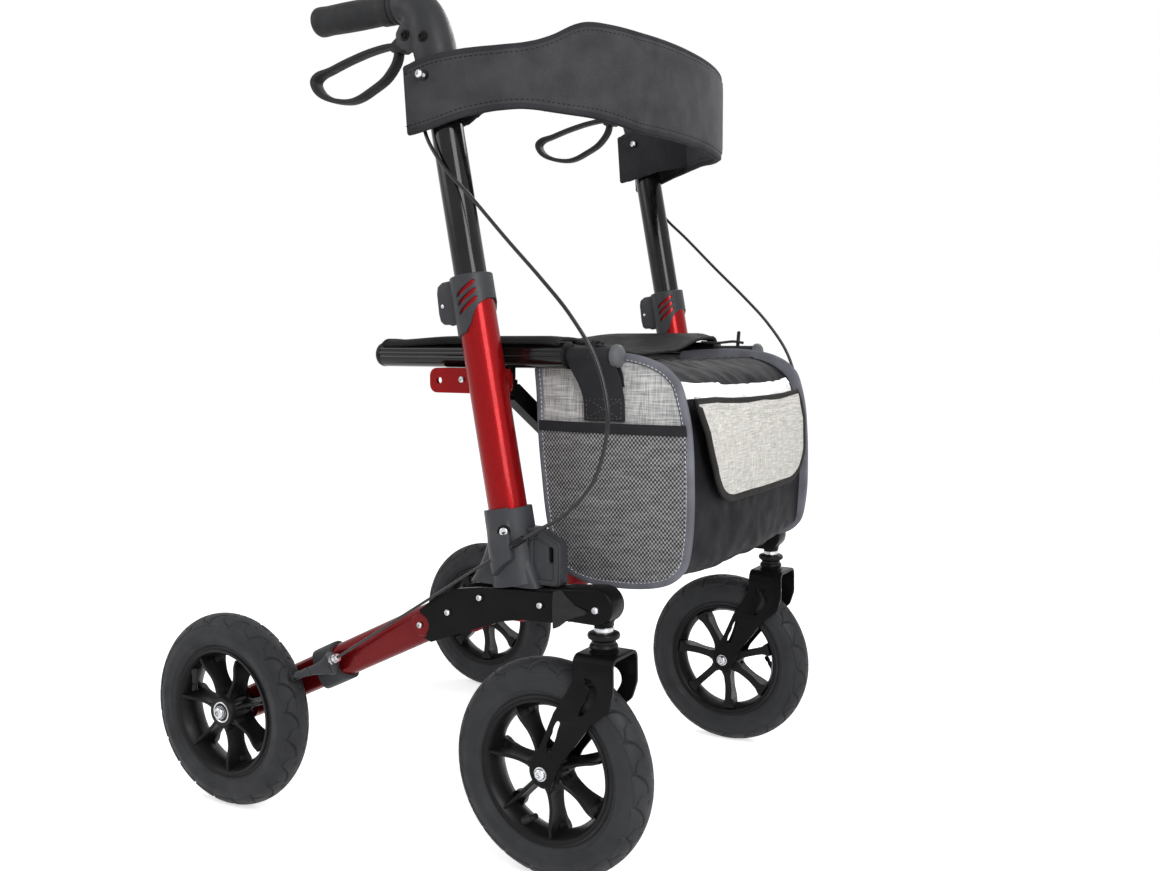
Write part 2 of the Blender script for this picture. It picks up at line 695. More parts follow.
def rear_axle_skins(piece):
    bearing_skins(piece, REAR_AXLE)
    outer = REAR_AXLE + OUT * (HUB_HALF + 0.4)
    piece.turn(washer(AXLE_R, 8.6, 1.4), outer, OUT, 32, "bright_steel")
    piece.bolt(outer + OUT * 1.2, OUT, 8.0, 5.0)
    piece.turn([(AXLE_R, 0), (AXLE_R, 70)], outer, -OUT, 24, "bright_steel")
    nut, spacer = np.array([REAR_X, 10.0, AXLE_Z]), np.array([REAR_X, -10.2, AXLE_Z])
    piece.turn([(9, 0), (9, 4.6), (7.6, 6), (5, 6)], nut, -OUT, 6, "bright_steel")
    piece.turn(washer(AXLE_R, 10, 5.5), spacer, OUT, 32, "bright_steel", loop=True)


# Casters

FORK_WIDE, FORK_IN, FORK_T = 25.8, 21.0, 4.4
FORK_TOP = 271.0
FORK_X = (282.0, 332.0)
FORK_BEND = 9.0
FORK_STEP = 208.0
SWIVEL = np.array([SWIVEL_X, 0, 0.0])


def fork_leg(outward):
    """One leg of pressed sheet with a long hole and a slit, stepping in to the axle."""
    outline = rounded([(FORK_X[0], 261), (FORK_X[1], 261), (332.4, 233), (326, 213), (304, 194), (264, 143),
                       (250, 112), (227, 112), (222, 135), (238, 162), (258, 203), (273, 225), (281, 240)],
                      [0.5, 0.5, 22, 14, 30, 20, 12, 12, 12, 20, 20, 20, 14])
    hole = curve([(299, 247), (309, 243), (313, 232), (307, 219), (296, 206), (290, 204), (293, 213),
                  (300, 224), (301, 235), (296, 242)], 4, loop=True)
    slit = curve([(265, 191), (261, 192), (255, 184), (252, 175), (247, 166), (245, 156), (250, 154),
                  (254, 163), (258, 172), (261, 181)], 4, loop=True)
    points, faces = plate([outline, hole, slit], FORK_WIDE, FORK_WIDE + FORK_T, 0.9)
    mesh = bpy.data.meshes.new("leg")
    mesh.from_pydata(points.tolist(), [], faces)
    sheet = bmesh.new()
    sheet.from_mesh(mesh)
    bpy.data.meshes.remove(mesh)
    bmesh.ops.remove_doubles(sheet, verts=sheet.verts, dist=0.01)
    for z in np.arange(150, 216, 5.0):
        bmesh.ops.bisect_plane(sheet, geom=sheet.verts[:] + sheet.edges[:] + sheet.faces[:], dist=0.001,
                               plane_co=(0, 0, z), plane_no=(0, 0, 1))
    sheet.verts.index_update()
    bent = np.array([v.co[:] for v in sheet.verts])
    bent[:, 1] -= (FORK_WIDE - FORK_IN) * ease((FORK_STEP - bent[:, 2]) / 48)
    bent[:, 1] *= outward
    faces = [tuple(v.index for v in f.verts) for f in sheet.faces]
    sheet.free()
    return bent, faces


def fork_skins(piece):
    for outward in (1, -1):
        piece.add(fork_leg(outward), "black_metal")
    high, wide = FORK_TOP - FORK_T / 2, FORK_WIDE + FORK_T / 2
    half = [np.array([wide, 250.0]), np.array([wide, 256.0])]
    for t in np.linspace(0, math.pi / 2, 9):
        half.append(np.array([wide - FORK_BEND + FORK_BEND * math.cos(t),
                              high - FORK_BEND + FORK_BEND * math.sin(t)]))
    line = half + [np.array([-p[0], p[1]]) for p in half[::-1]]
    path = [(sum(FORK_X) / 2, y, z) for y, z in line]
    section = superellipse((FORK_X[1] - FORK_X[0]) / 2, FORK_T / 2, 12, 24)
    piece.add(strip(path, section, AHEAD), "black_metal")
    seat = [(9, 270), (16.6, 270), (16.6, 271.6), (15.6, 272.4), (14, 272.8), (14, 274)]
    piece.turn(seat, SWIVEL, UP, 48, "black_metal")


def caster_steel_skins(piece):
    """The swivel's rubber boot and stem, and the front wheel's bearings and axle."""
    boot = [(13, 273.4), (15.4, 274.4), (16.2, 276.6), (15.2, 279), (13.6, 280.4), (13.4, 283), (15, 284.4),
            (17.6, 286), (18.4, 288.8), (17.4, 291.4), (14.4, 292.8), (10, 293)]
    cup = [(8, 292.6), (11, 292.6), (11, 297.4), (10.2, 298.4), (8, 298.4)]
    piece.turn(boot, SWIVEL, UP, 48, "black_plastic")
    piece.turn(cup, SWIVEL, UP, 40, "bright_steel")
    piece.turn([(7.9, 262), (7.9, 333)], SWIVEL, UP, 24, "bright_steel")
    bearing_skins(piece, FRONT_AXLE)
    for axis in (OUT, -OUT):
        seat = FRONT_AXLE + axis * (FORK_IN + FORK_T)
        piece.turn(washer(AXLE_R, 8.2, 1.2), seat, axis, 32, "bright_steel")
        piece.bolt(seat + axis * 1.0, axis, 6.8, 4.4)
    piece.turn([(AXLE_R, -27), (AXLE_R, 27)], FRONT_AXLE, OUT, 24, "bright_steel")


# Hubs of the side frames

LEG_BOLTS = [(63.0, 273.0), (107.1, 294.4)]
FOOT_BOLT = (152.9, 317.1)
ARM_BOLT = (235.2, 317.9)
CAP_BOLT = (303.0, 318.9)
ARM_END, ARM_END_R = (303.0, 321.9), 20.6
SADDLE_SCREW, SADDLE_FACE = (98.0, 566.0), 22.9
FOLD_HINGE = np.array([160.0, 44.0, 296.0])
# How far above the leg's axis the bare wire ends
WIRE_UP = 4.4


def nose_skin(face):
    """A pointed cover that runs from the plates on to the arm, with hollow edges and a ridge to its tip."""
    edge = [(252, 293.6, 21.4), (255, 294.2, 20), (260, 297.8, 17.2), (268, 304.3, 16.2),
            (278, 308.4, 16.6), (290.6, 313, 18.6), (293.6, 315.6, 18.8), (291.6, 317.4, 18.6),
            (278, 321.6, 16.8), (267, 330, 16.4), (262.8, 334.6, 17), (259.6, 337.6, 18.6),
            (252.4, 335, 21.4)]
    ridge = [(252.6, 317.5, 23.6), (264, 316.8, 21.4), (286, 315, 19.8)]
    points = [(x, -y * face, z) for x, z, y in edge + ridge] + [(x, -12.0 * face, z) for x, z, _ in edge]
    count = len(edge)
    low, mid, tip = count, count + 1, count + 2
    faces = [(0, 1, low), (1, 2, mid, low), (2, 3, mid), (3, 4, tip, mid), (4, 5, tip), (5, 6, tip),
             (6, 7, tip), (7, 8, mid, tip), (8, 9, mid), (9, 10, mid), (10, 11, low, mid), (11, 12, low)]
    base = count + len(ridge)
    faces += [(i, base + i, base + (i + 1) % count, (i + 1) % count) for i in range(count - 1)]
    faces += [(12, base + 12, base, 0, low), tuple(range(base, base + count))]
    return points, faces


def nose_skins(piece):
    for face in (1, -1):
        piece.add(nose_skin(face), "nose_plastic")


def arm_skins(piece):
    turn = np.radians(np.linspace(-90, 90, 17))
    end = [(ARM_END[0] + ARM_END_R * math.cos(t), ARM_END[1] + ARM_END_R * math.sin(t)) for t in turn]
    outline = [(208, 302.4)] + end + [(208, 333)]
    piece.add(plate([outline], -15.6, 15.6, 3.0), "black_metal")
    neck = [(8.2, 298.8), (10.6, 298.8), (11.4, 299.8), (11.6, 304), (14, 308), (15, 316)]
    piece.turn(neck, SWIVEL, UP, 40, "black_metal")


def frame_bolt_skins(piece):
    for axis in (OUT, -OUT):
        disc = in_plane(LEG_BOLTS[0], 0) + axis * 14.6
        piece.turn([(3, 0), (13.6, 0), (13.6, 2.2), (13, 2.8), (3, 2.8)], disc, axis, 44, "red_leg")
        piece.bolt(in_plane(LEG_BOLTS[0], 0) + axis * 17.4 + axis * 0.5, axis, 3.9, 3.0)
        for p in (LEG_BOLTS[1], FOOT_BOLT, ARM_BOLT):
            seat = in_plane(p, 0) + axis * 21
            piece.turn(washer(3, 5.8, 0.6), seat, axis, 28, "black_metal")
            piece.bolt(seat + axis * 0.5, axis, 3.9, 3.0)
    piece.bolt(in_plane(CAP_BOLT, -15.6), OUT, 4.4, 3.2)
    piece.bolt(in_plane(SADDLE_SCREW, SADDLE_FACE), OUT, 4.2, 3.0)
    piece.turn([(4.9, -24), (4.9, 24)], FOLD_HINGE, AHEAD, 24, "bright_steel")
    for axis in (AHEAD, -AHEAD):
        piece.bolt(FOLD_HINGE + axis * 24.2, axis, 7.4, 3.4)
    r = SOCKET_R - 0.6 + float(hood_rise(*SOCKET_SCREW))
    turn = math.radians(SOCKET_SCREW[1])
    screw = round_upright(SOCKET_SCREW[0], turn, r)
    face_out = np.array([math.cos(turn), math.sin(turn), 0])
    well = [(3, -3), (7.4, -3), (7.4, 0.9), (6.4, 1.2), (6, 0), (3, 0)]
    piece.turn(well, screw, face_out, 28, "black_plastic")
    piece.bolt(screw, face_out, 5.2, 2.4)
    adjuster_skins(piece)


def adjuster_skins(piece):
    """The threaded barrel, with its lock nut, that the bare wire ends in."""
    low, high = in_plane(on_leg(189, WIRE_UP), -28), in_plane(on_leg(203, WIRE_UP), -30)
    axis = unit(high - low)
    barrel = [(3.4, -2), (3.4, 14), (2.6, 15)]
    lock_nut, collar = [(6.4, 2), (6.4, 5.4)], [(5.4, 8), (5.4, 13)]
    for profile, steps in ((barrel, 20), (lock_nut, 6), (collar, 18)):
        piece.turn(profile, low, axis, steps, "bright_steel")


# Uprights, clamps and sockets

SOCKET_R = 28.0


def socket_skins(piece):
    levels = [(88, 25.6), (88.4, 27.2), (87.4, 28), (80, 28), (60, 28), (40, 28.4), (20, 29.4), (2, 31)]
    turns = np.linspace(0, 2 * math.pi, 56, endpoint=False)
    piece.add(loft([[round_upright(along, t, r) for t in turns] for along, r in levels]), "grey_plastic")
    rings = []
    for share in np.linspace(0, 1, 12):
        flare = (1 - share) ** 1.7
        high = PLATE_TOP + 1 + 66 * share
        middle = on_upright(66 * share)[0]
        back = 27 + 34 * flare
        front = 25 + 10 * flare
        oval = superellipse(1, 1, 2.0 + 2.6 * flare, 56)
        wide = 23.5 - 3.4 * flare
        rings.append([(middle + (front if a > 0 else back) * a, wide * b, high) for a, b in oval])
    piece.add(loft(rings), "grey_plastic")
    ear = rounded([(212, 337), (254, 337), (254, 386), (222, 402), (205, 402)], [2, 6, 7, 10, 4])
    slot = rounded([(239, 364), (245, 364), (245, 382), (239, 382)], 2.5)
    piece.add(plate([ear, slot], -9, 9, 1.4), "grey_plastic")
    rim = rounded([(213, 338), (252, 338), (252, 385), (222, 400), (214, 396)], 6)
    inner = rounded([(219, 344), (246.5, 344), (246.5, 381.5), (222, 392.5), (219, 390)], 4)
    piece.pair([rim, inner], 8.6, 11.0, 0.8, "grey_plastic")
    hood_skins(piece)


HOOD_TURN = (-150.0, -55.0)
HOOD_RISE = 10.4
SOCKET_SCREW = (64.0, -72.0)


def hood_rise(along, turn):
    """How far the hood stands out of the socket, from the place up it and the turn round it."""
    up = ease((76 - along) / 32)
    back = ease((turn - HOOD_TURN[0]) / 64)
    return HOOD_RISE * up * back * ease((HOOD_TURN[1] - turn) / 10)


def hood_skins(piece):
    """The raised hood on the socket's outer side that the cable's sleeve ends in."""
    turns = np.concatenate([np.linspace(HOOD_TURN[0], -68, 18), np.linspace(-66, HOOD_TURN[1], 9)])
    rings = []
    levels = [(90, 0.6), (84, 0.2), (76, 0), (68, 0), (60, 0), (52, 0), (44, 0), (37, 0), (33, 0.8),
              (31.4, 3), (30.6, 9)]
    for along, sink in levels:
        ring = []
        for turn in turns:
            low = along - 16 * ease((-turn - 60) / 60) * ease((56 - along) / 24)
            r = max(27.4, SOCKET_R + 0.3 + hood_rise(along, turn) - sink)
            ring.append(round_upright(low, math.radians(turn), r))
        rings.append(ring + [in_plane(on_upright(along), -6.0)])
    piece.add(loft(rings), "grey_plastic")


CLAMP_TOP, CLAMP_R, CLAMP_IN, CLAMP_BORE = 359.4, 25.2, 22.7, 19.5
# The clamp's lower edge: turn round the upright from its front, and place up it
CLAMP_EDGE = [(0, 329), (20, 328.6), (45, 323.3), (62, 314.5), (75, 302.8), (95, 293.6), (144, 290.7),
              (180, 290.4)]
CLAMP_SLOTS = [(336.0, 350.6), (326.0, 341.0), (315.4, 331.6)]
SLOT_TURN, SLOT_HALF = (108.0, 47.0), 2.7
CLAMP_EAR = [(-14, 357.6), (-34, 358.4), (-41.6, 354.6), (-44, 347), (-45.6, 323), (-44.6, 314),
             (-40, 311.4), (-35, 309.6), (-30, 306.4), (-14, 306)]


def slot_skin(low, high, side):
    """A cutter for one slanted slot of the clamp."""
    rings = []
    for t in np.linspace(0, 1, 13):
        turn = side * math.radians(SLOT_TURN[0] + (SLOT_TURN[1] - SLOT_TURN[0]) * t)
        half = SLOT_HALF * max(0.05, 1 - abs(2 * t - 1) ** 8) ** 0.5
        along = low + (high - low) * t
        corners = ((-1, 20), (-1, 29), (1, 29), (1, 20))
        rings.append([round_upright(along + a * half, turn, r) for a, r in corners])
    return loft(rings)


def cut_away(skin, cutters):
    """A closed skin with other closed skins cut out of it."""
    made = []
    for points, faces in (skin, *cutters):
        mesh = bpy.data.meshes.new("cut")
        mesh.from_pydata([tuple(p) for p in points], [], faces)
        solid = bmesh.new()
        solid.from_mesh(mesh)
        bmesh.ops.recalc_face_normals(solid, faces=solid.faces)
        solid.to_mesh(mesh)
        solid.free()
        made.append(linked("cut", mesh))
    for cutter in made[1:]:
        cut = made[0].modifiers.new("cut", "BOOLEAN")
        cut.object = cutter
        cut.operation = "DIFFERENCE"
    result = as_shown(made[0])
    points = np.array([v.co[:] for v in result.vertices])
    faces = [tuple(f.vertices) for f in result.polygons]
    for thing in made:
        bpy.data.meshes.remove(thing.data)
    bpy.data.meshes.remove(result)
    return points, faces


def clamp_skins(piece):
    """The clamp: a sleeve whose lower edge falls to the back, with slots and two ears for the lock."""
    turns, lows = np.array(CLAMP_EDGE, float).T
    rings = []
    for turn in np.linspace(-math.pi, math.pi, 73)[:-1]:
        low = np.interp(abs(math.degrees(turn)), turns, lows)
        profile = [(CLAMP_IN, low), (CLAMP_R - 0.7, low), (CLAMP_R, low + 0.7), (CLAMP_R, CLAMP_TOP - 0.9),
                   (CLAMP_R - 0.9, CLAMP_TOP), (CLAMP_BORE, CLAMP_TOP), (CLAMP_BORE, CLAMP_TOP - 4),
                   (CLAMP_IN, CLAMP_TOP - 4)]
        rings.append([round_upright(along, turn, r) for r, along in profile])
    cutters = [slot_skin(low, high, side) for low, high in CLAMP_SLOTS for side in (1, -1)]
    piece.add(cut_away(loft(rings, loop=True), cutters), "grey_plastic")
    ear = rounded([on_upright(along, ahead) for ahead, along in CLAMP_EAR], [1, 5, 4, 6, 8, 3, 3, 4, 4, 1])
    piece.pair([ear], 8.0, 11.5, 1.2, "grey_plastic")


LOCK_AT, LOCK_PIN = (327.36, -38.0), (331.0, -38.0)
LOCK_EDGE = [(1, -17), (5, -14), (5, 14), (-2, 22), (-6, 16), (-8.6, 2), (-9.4, -13), (-6, -17)]


def lock_skins(piece):
    outline = rounded([on_upright(LOCK_AT[0] + b, LOCK_AT[1] + a) for a, b in LOCK_EDGE], 2.4)
    piece.add(plate([outline], -7.6, 7.6, 2.2), "grey_plastic")
    pin = [(1.6, -12.2), (2.2, -12), (2.2, 12), (1.6, 12.2)]
    piece.turn(pin, in_plane(on_upright(*LOCK_PIN), 0), OUT, 20, "bright_steel")


# Rear legs

COLLAR = (143.0, 185.0)
LEG_TALL, LEG_WIDE = 21.5, 10.0
SHOE_R = 134.4


def leg_ring(along, up, y, tall, wide, power=2.6, count=48):
    """An oval section square to the leg."""
    return [in_plane(on_leg(along, up + a), y + b) for a, b in superellipse(tall, wide, power, count)]


def collar_skins(piece):
    """A collar round the oval leg, cut away at its outer side, with an arm that sweeps out to the tyre."""
    oval = superellipse(1, 1, 3.0, 64)
    rings = []
    for share, grow in [(0, 1.0), (0.0, 3.6), (0.03, 4.6), (0.5, 4.8), (0.97, 4.6), (1, 3.6), (1, 1.0)]:
        ring = []
        for a, b in oval:
            cut = 9 * ease((-b - 0.2) / 0.8) * (1 - a * a) ** 0.5 + 5 * a
            along = COLLAR[0] + (COLLAR[1] - cut - COLLAR[0]) * share
            ring.append(in_plane(on_leg(along, a * (LEG_TALL + grow)), b * (LEG_WIDE + grow)))
        rings.append(ring)
    piece.add(loft(rings), "grey_plastic")
    wing = [(191, 4.4, -26, 5.4, 5.4), (189.6, 4.2, -25.4, 7, 7.2), (185, 3, -21.5, 11.4, 9),
            (180, 1.6, -18.4, 14.6, 8.6), (175, 0.8, -18.6, 13.4, 9), (169, 0.8, -21.6, 9.8, 9.2),
            (163, 1.4, -25.4, 7.6, 9), (158, 2, -28.6, 6.4, 8.6), (155.4, 2.4, -30, 5.9, 7.6)]
    piece.add(loft([leg_ring(*row, 2.3) for row in curve(wing, 4)]), "grey_plastic")


def shoe_skins(piece):
    """A brake shoe: the end of the swept arm, with a small curved pad ahead of the tyre."""
    arm = [(155, 2.4, -30.2, 5.4, 6.8), (154.2, 2.6, -30.6, 5.9, 8.2), (148, 3.2, -32.8, 5.2, 8.8),
           (141, 3.8, -35, 4.5, 9.8), (137, 4.2, -36, 4.1, 10.4)]
    piece.add(loft([leg_ring(*row, 2.6) for row in curve(arm, 3)]), "grey_plastic")
    rings = []
    for tilt, thin in [(-0.4, 0.6), (-0.1, 1), (1.0, 1), (2.2, 1), (3.4, 1), (3.7, 0.6)]:
        way, _ = round_axle(LEG_SLOPE + math.radians(tilt))
        section = superellipse(12.4 * thin, 2.9 * thin, 5, 24)
        rings.append([REAR_AXLE + (SHOE_R + b) * way + a * OUT for a, b in section])
    piece.add(loft(rings), "black_plastic")
    low, high = in_plane(on_leg(150, 3), -31), in_plane(on_leg(160, 2.4), -28.6)
    piece.add(tube([low, high], 3.6, 18), "bright_steel")


# Brake cables

CABLE_ROUTE = [(71.6, -14, 902), (75, -16.6, 876), (81.4, -20.6, 850), (97.8, -23.6, 824.5),
               (121, -24.4, 798), (150.5, -25.4, 771), (199, -28.4, 723), (245, -31.4, 679),
               (283, -33.4, 639), (314, -35, 594), (329, -36, 545), (327, -36, 505), (310, -35, 460),
               (276, -35, 425), (240, -34.4, 404)]


SLEEVE_R, WIRE_R = 2.2, 1.7


def cables():
    for side, (word, _) in SIDES.items():
        guard = in_plane(on_upright(48, 21), -32)
        end = in_plane(on_leg(202, WIRE_UP), -30)
        way = unit(end - guard)
        piece = Piece()
        sleeve = curve(CABLE_ROUTE + [tuple(guard - way * 12), tuple(guard - way * 2)], 12)
        piece.add(tube(sleeve, SLEEVE_R, 16), "cable_sleeve")
        piece.turn([(2.9, -18), (4, -17), (4, -1), (3.4, 0), (1, 0)], guard, way, 20, "black_plastic")
        piece.add(tube([guard, end], WIRE_R, 12), "cable_sleeve")
        name = f"brake_cable_dressed_{side}"
        made = piece.make(name, None, side, 38, [f"brake_cable_{side}"], "cable_sleeve")
        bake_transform(made)


# Handles

HEAD_R, HEAD_FOOT = 22.6, 582.0
GRIP_ROOT = GRIP_AT - np.array([40.0, 0.0])
LEVER_LEN, LEVER_DROP = 164.0, 67.0


def head_skins(piece):
    """An elbow from the leaning tube round to the grip, with cheeks for the brake loop."""
    corner = GRIP_AT + np.array([2.0, 3.0])
    start, stop = on_upright(HEAD_FOOT + 24), GRIP_ROOT
    t = np.linspace(0, 1, 15)[:, None]
    bend = (1 - t) ** 3 * start + 3 * (1 - t) ** 2 * t * (0.25 * start + 0.75 * corner) \
        + 3 * (1 - t) * t**2 * (0.25 * stop + 0.75 * corner) + t**3 * stop
    path = np.vstack([[on_upright(HEAD_FOOT + up) for up in (0, 0.6, 8, 16)], bend])
    radii = np.concatenate([[21.4, HEAD_R, HEAD_R, HEAD_R, 23.2, 24.8], np.linspace(25.4, 20.8, 12), [18.6]])
    line = np.stack([path[:, 0], np.zeros(len(path)), path[:, 1]], 1)
    piece.add(tube(line, radii, 40), "head_plastic")
    edge = [(-13, -9), (-5, -16), (14, -22), (26, -34), (34, -10), (30, 26), (6, 22), (-8, 13), (-14, 4)]
    cheek = rounded([LEVER_PIVOT + p for p in edge], [5, 5, 6, 4, 4, 4, 6, 5, 6])
    piece.pair([cheek], 8.6, 13.5, 1.5, "head_plastic")
    root = rounded([LEVER_PIVOT + p for p in [(15, -24), (30, -34), (34, 20), (16, 18)]], 4)
    piece.add(plate([root], -12, 12, 1.5), "head_plastic")


def grip_skins(piece):
    """A rubber grip with two collars at its root, a palm swell and a rounded end."""
    profile = [(11, 0), (18.4, 0), (18.9, 0.8), (18.9, 6), (18.3, 6.8), (17.2, 7.2), (17.2, 8.6), (18.2, 9),
               (18.5, 10), (18.5, 24), (18, 25), (17.3, 25.6)]
    for share in np.linspace(0.06, 1, 20):
        swell = 16.9 + 0.9 * math.sin(math.pi * share) + 1.0 * ease((share - 0.86) / 0.14)
        profile.append((swell, 24 + 97 * share))
    profile += [(17.6, 124.2), (16.4, 126.4), (14, 127.6), (5, 128)]
    piece.turn(profile, in_plane(GRIP_ROOT, 0) - AHEAD * 0.4, -AHEAD, 48, "grip_rubber")


def loop_skins(piece):
    """The brake loop: a closed flat bow, broad at its far end, on a boss."""
    shares = [(-0.17, -0.10), (-0.36, -0.13), (-0.58, -0.235), (-0.76, -0.35), (-0.87, -0.41),
              (-0.92, -0.52), (-0.895, -0.68), (-0.83, -0.81), (-0.72, -0.91), (-0.585, -0.96),
              (-0.48, -0.925), (-0.37, -0.82), (-0.25, -0.68), (-0.175, -0.52), (-0.13, -0.36),
              (-0.12, -0.20)]
    path = curve([LEVER_PIVOT + np.array([a * LEVER_LEN, b * LEVER_DROP]) for a, b in shares], 6, loop=True)
    rings = []
    for p, way in zip(path, ways(path, True)):
        over = np.array([way[1], -way[0]])
        far = ease((LEVER_PIVOT[0] - 0.72 * LEVER_LEN - p[0]) / 30)
        broad, thick = 8.0 + 2.0 * far, 3.2 + 0.6 * far
        rings.append([in_plane(p + b * over, a) for a, b in superellipse(broad, thick, 3.2, 20)])
    piece.add(loft(rings, loop=True), "grip_rubber")
    edge = [(-30, -7), (-26, -15), (-10, -17), (6, -10), (10, 2), (4, 10), (-6, 10)]
    ear = rounded([LEVER_PIVOT + p for p in edge], 4)
    piece.add(plate([ear], -7.6, 7.6, 1.6), "grip_rubber")


def handle_bolt_skins(piece):
    pin, head = in_plane(LEVER_PIVOT, 0), in_plane(on_upright(635, 3), 0)
    for axis in (OUT, -OUT):
        piece.turn([(3, -4), (6.8, -4), (6.8, 0.6), (6, 1)], pin + axis * 13.4, axis, 24, "black_plastic")
        piece.bolt(pin + axis * 14, axis, 4.6, 2.4, "black_metal")
        piece.turn([(3, -4), (7, -4), (7, 1.2), (6.2, 1.6)], head + axis * 23.8, axis, 24, "black_plastic")
        piece.bolt(head + axis * 24.8, axis, 5.2, 2.4, "black_metal")
    piece.turn([(4, -13), (4, 13)], pin, OUT, 20, "bright_steel")
    x, z = BAND_SCREW
    outer = SIDE_Y - band_half(x) - BAND_END_T / 2
    for y, axis, reach in ((outer, OUT, 8), (28.0, -OUT, 3)):
        seat = np.array([x, y, z])
        piece.turn([(3, -2), (6.4, -2), (6.4, 0.6), (3, 0.8)], seat, axis, 24, "black_plastic")
        thread = [(2.2 + 0.5 * (i % 2), i) for i in range(reach + 2)]
        piece.turn(thread, seat, axis, 16, "bright_steel")
        piece.bolt(seat + axis * reach, axis, 4.8, 3.8)


# Backrest band

BAND_SCREW = (86.47, 913.43)
BAND_END_X, BAND_END_Y = 60.47, 284.3
BAND_REACH, BAND_POWER = 228.0, 2.2
BAND_END_T, BAND_MID_T = 6.0, 12.0
BAND_RINGS = 150
# Along the bow from its middle to its end: the share of the way, the top edge and the bottom edge
BAND_EDGES = [(0, 975, 860), (0.24, 975, 859.6), (0.32, 976, 864.5), (0.40, 976, 868.6),
              (0.44, 974.5, 869.4), (0.48, 969, 870), (0.54, 956, 871.5), (0.59, 949, 873.4),
              (0.64, 945, 874), (0.72, 942, 871.2), (0.82, 939.5, 865), (0.92, 935.5, 854.5),
              (0.97, 931, 850.6), (1, 925.8, 848.7)]
BAND_SLANT = 0.07
BAND_JOIN_X = 170.0
TAPE = 8.0


def band_half(x):
    """Half the band's width at a place along X."""
    return BAND_END_Y * (1 - ((x - BAND_END_X) / BAND_REACH) ** BAND_POWER) ** (1 / BAND_POWER)


def band_line():
    """For places along the bow: the middle, the way out of it, the height and the thickness."""
    shares, tops, lows = np.array(BAND_EDGES).T
    fine = np.linspace(0, 1, 400)
    soft = np.hanning(25) / np.hanning(25).sum()
    edges = [np.pad(np.interp(fine, shares, edge), 12, mode="edge") for edge in (tops, lows)]
    tops, lows = (np.convolve(edge, soft, "valid") for edge in edges)
    rows = []
    for a in np.linspace(-math.pi / 2, math.pi / 2, BAND_RINGS):
        c, s = max(math.cos(a), 0), math.sin(a)
        x = BAND_END_X + BAND_REACH * c ** (2 / BAND_POWER)
        y = BAND_END_Y * math.copysign(abs(s) ** (2 / BAND_POWER), s)
        out = unit([c / BAND_REACH, s / BAND_END_Y, 0])
        share = abs(a) / (math.pi / 2)
        top, low = np.interp(share, fine, tops), np.interp(share, fine, lows)
        thick = BAND_END_T + (BAND_MID_T - BAND_END_T) * float(ease((1 - share) / 0.5))
        rows.append((np.array([x, y, (top + low) / 2]), out, top - low, thick))
    return rows


def band_slant(x):
    """How far the band leans back with height, which it does only at its ends."""
    return BAND_SLANT * ease((BAND_END_X + 60 - x) / 60)


def tape_section(thick):
    """The section of the tape that binds an edge."""
    return superellipse(TAPE / 2, thick * 0.25 + 1.3, 3.4, 18)


def band_row(at, out, high, thick, count=33):
    """One ring of the padded band: puffed between its edges, thin at them, and slanted at the ends."""
    ring = []
    slant = band_slant(at[0])
    for side in (1, -1):
        for v in np.linspace(-side, side, count)[:-1]:
            edge = high / 2 * (1 - abs(v))
            puff = 0.42 + 0.58 * float(ease(edge / 16)) ** 0.5
            proud = thick / 2 * puff * max(0.0, 1 - abs(v) ** 40) ** 0.5
            ring.append(at + UP * v * high / 2 + out * side * proud - AHEAD * slant * v * high / 2)
    return ring


def band_tape(rows, edge):
    """The tape that binds one long edge of the band."""
    beads = []
    for at, out, high, thick in rows:
        spot = at + edge * (high / 2 - TAPE / 2 + 0.8) * (UP - AHEAD * band_slant(at[0]))
        beads.append([spot + UP * a + out * b for a, b in tape_section(thick)])
    return loft(beads)


def lining_rows(side):
    """The inner layer at one end, which closes the sleeve over the handle."""
    rows = band_line()
    rows = rows if side < 0 else rows[::-1]
    spots = curve([(BAND_END_X, 231.5), (84, 230.5), (108, 232), (130, 240), (150, 252), (166, 258.5)], 6)
    lined = []
    for (x, y), (tx, ty) in zip(spots, ways(spots)):
        near = min(rows[:60], key=lambda row: abs(row[0][0] - x))
        at = np.array([x, side * y, near[0][2] + 4])
        lined.append((at, np.array([-ty, side * tx, 0]), near[2] - 8, 4.0))
    return lined


def band_skins(rows):
    """A length of the band with its bound edges and their stitches."""
    piece = Piece()
    piece.add(loft([band_row(*row) for row in rows]), "band_fabric")
    for edge in (1, -1):
        piece.add(band_tape(rows, edge), "band_binding")
        for lift in (1, -1):
            seam = [at + UP * edge * (high / 2 - TAPE - 1.2) + out * lift * (thick * 0.36 + 1.0)
                    for at, out, high, thick in rows]
            stitches(piece, seam, UP * 0, "black_thread", 3.4, 2.6, 0.5)
    return piece


def band_end(rows, side):
    """One end of the band: the sleeve over the handle tube, closed by an inner layer."""
    piece = band_skins(rows)
    lined = lining_rows(side)
    piece.add(loft([band_row(*row) for row in lined]), "band_binding")
    for edge in (1, -1):
        piece.add(band_tape(lined, edge), "band_binding")
    for at, out, high, thick in (rows[0 if side < 0 else -1], lined[0]):
        bead = []
        for v in np.linspace(-0.97, 0.97, 9):
            spot = at + v * high / 2 * (UP - AHEAD * BAND_SLANT) + AHEAD * (TAPE / 2 - 2)
            bead.append([spot + out * b + AHEAD * a for a, b in tape_section(thick)])
        piece.add(loft(bead), "band_binding")
    return piece


